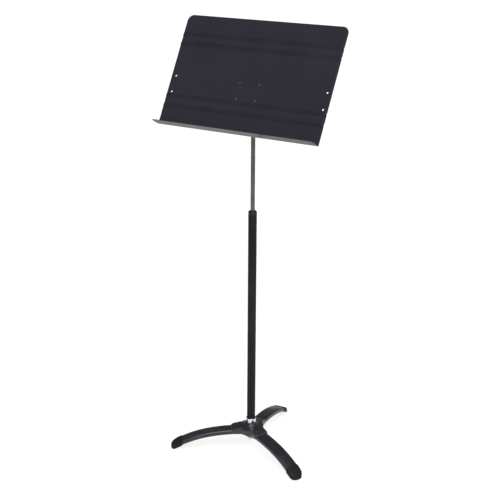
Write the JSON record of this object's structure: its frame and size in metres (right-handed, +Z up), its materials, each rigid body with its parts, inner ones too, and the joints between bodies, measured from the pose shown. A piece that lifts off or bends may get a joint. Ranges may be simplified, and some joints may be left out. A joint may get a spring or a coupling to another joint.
{
  "type": "music stand",
  "caption": "Orchestra music stand: folded sheet-metal desk with a shelf on a tilting, turning rod that slides in a tube on a three-legged base.",
  "frame": {"origin": "middle of the footprint on the floor, which is the bottom middle of the bounding box; the column stands 45 mm forward of it", "axes": "+Z up along the column, -Y towards the player (the side the desk faces), +X to the player's right"},
  "size_m": [0.508, 0.3974, 1.281],
  "materials": {
    "black_powder_coat": "fine satin powder coat on pressed steel",
    "black_gloss_paint": "semi-gloss black enamel",
    "nickel_plate": "ground and black-nickel plated rod",
    "chrome_plate": "polished chrome plate",
    "zinc_plate": "bright zinc plated fasteners",
    "spring_steel": "oil-tempered spring steel",
    "black_abs": "moulded, semi-gloss",
    "natural_nylon": "moulded, waxy",
    "red_fibre": "vulcanised fibre, matt",
    "black_rubber": "moulded, satin"
  },
  "bodies": {
    "base": {"base_bolt": "zinc_plate", "base_collar": "chrome_plate", "base_hub": "black_powder_coat", "base_lock_washer": "zinc_plate", "base_washer": "zinc_plate", "column_tube": "black_gloss_paint", "guide_bush": "natural_nylon", "leg_front_left": "black_powder_coat", "leg_front_right": "black_powder_coat", "leg_rear": "black_powder_coat", "leg_screw_front_left_inner": "zinc_plate", "leg_screw_front_left_outer": "zinc_plate", "leg_screw_front_right_inner": "zinc_plate", "leg_screw_front_right_outer": "zinc_plate", "leg_screw_rear_inner": "zinc_plate", "leg_screw_rear_outer": "zinc_plate", "rubber_boot_front_left": "black_rubber", "rubber_boot_front_right": "black_rubber", "rubber_boot_rear": "black_rubber", "tube_cap": "black_abs", "tube_plug": "zinc_plate"},
    "grip": {"grip_sleeve": "natural_nylon"},
    "mast": {"lift_rod": "nickel_plate", "tilt_head": "black_gloss_paint", "head_pin": "zinc_plate", "grip_cone": "zinc_plate", "grip_spring": "spring_steel", "grip_washer": "zinc_plate", "grip_nut": "zinc_plate"},
    "desk": {"desk_sheet": "black_powder_coat", "flat_washer_left": "zinc_plate", "flat_washer_right": "zinc_plate", "friction_washer_left": "red_fibre", "friction_washer_right": "red_fibre", "rivet_lower_left": "black_powder_coat", "rivet_lower_right": "black_powder_coat", "rivet_upper_left": "black_powder_coat", "rivet_upper_right": "black_powder_coat", "tilt_bracket_left": "black_powder_coat", "tilt_bracket_right": "black_powder_coat", "tilt_bolt": "zinc_plate", "disc_spring": "spring_steel", "tilt_lock_nut": "zinc_plate"}
  },
  "joints": [
    {"name": "lift", "type": "slide", "parent": "base", "child": "grip", "axis": [0, 0, 1], "range_m": [-0.29, 0.22]},
    {"name": "swivel", "type": "hinge", "parent": "grip", "child": "mast", "pos_m": [0, -0.0463, 0.43], "axis": [0, 0, 1], "continuous": true},
    {"name": "tilt", "type": "hinge", "parent": "mast", "child": "desk", "pos_m": [0, -0.0463, 1.089], "axis": [-1, 0, 0], "range_deg": [-29.5, 60.5]}
  ]
}
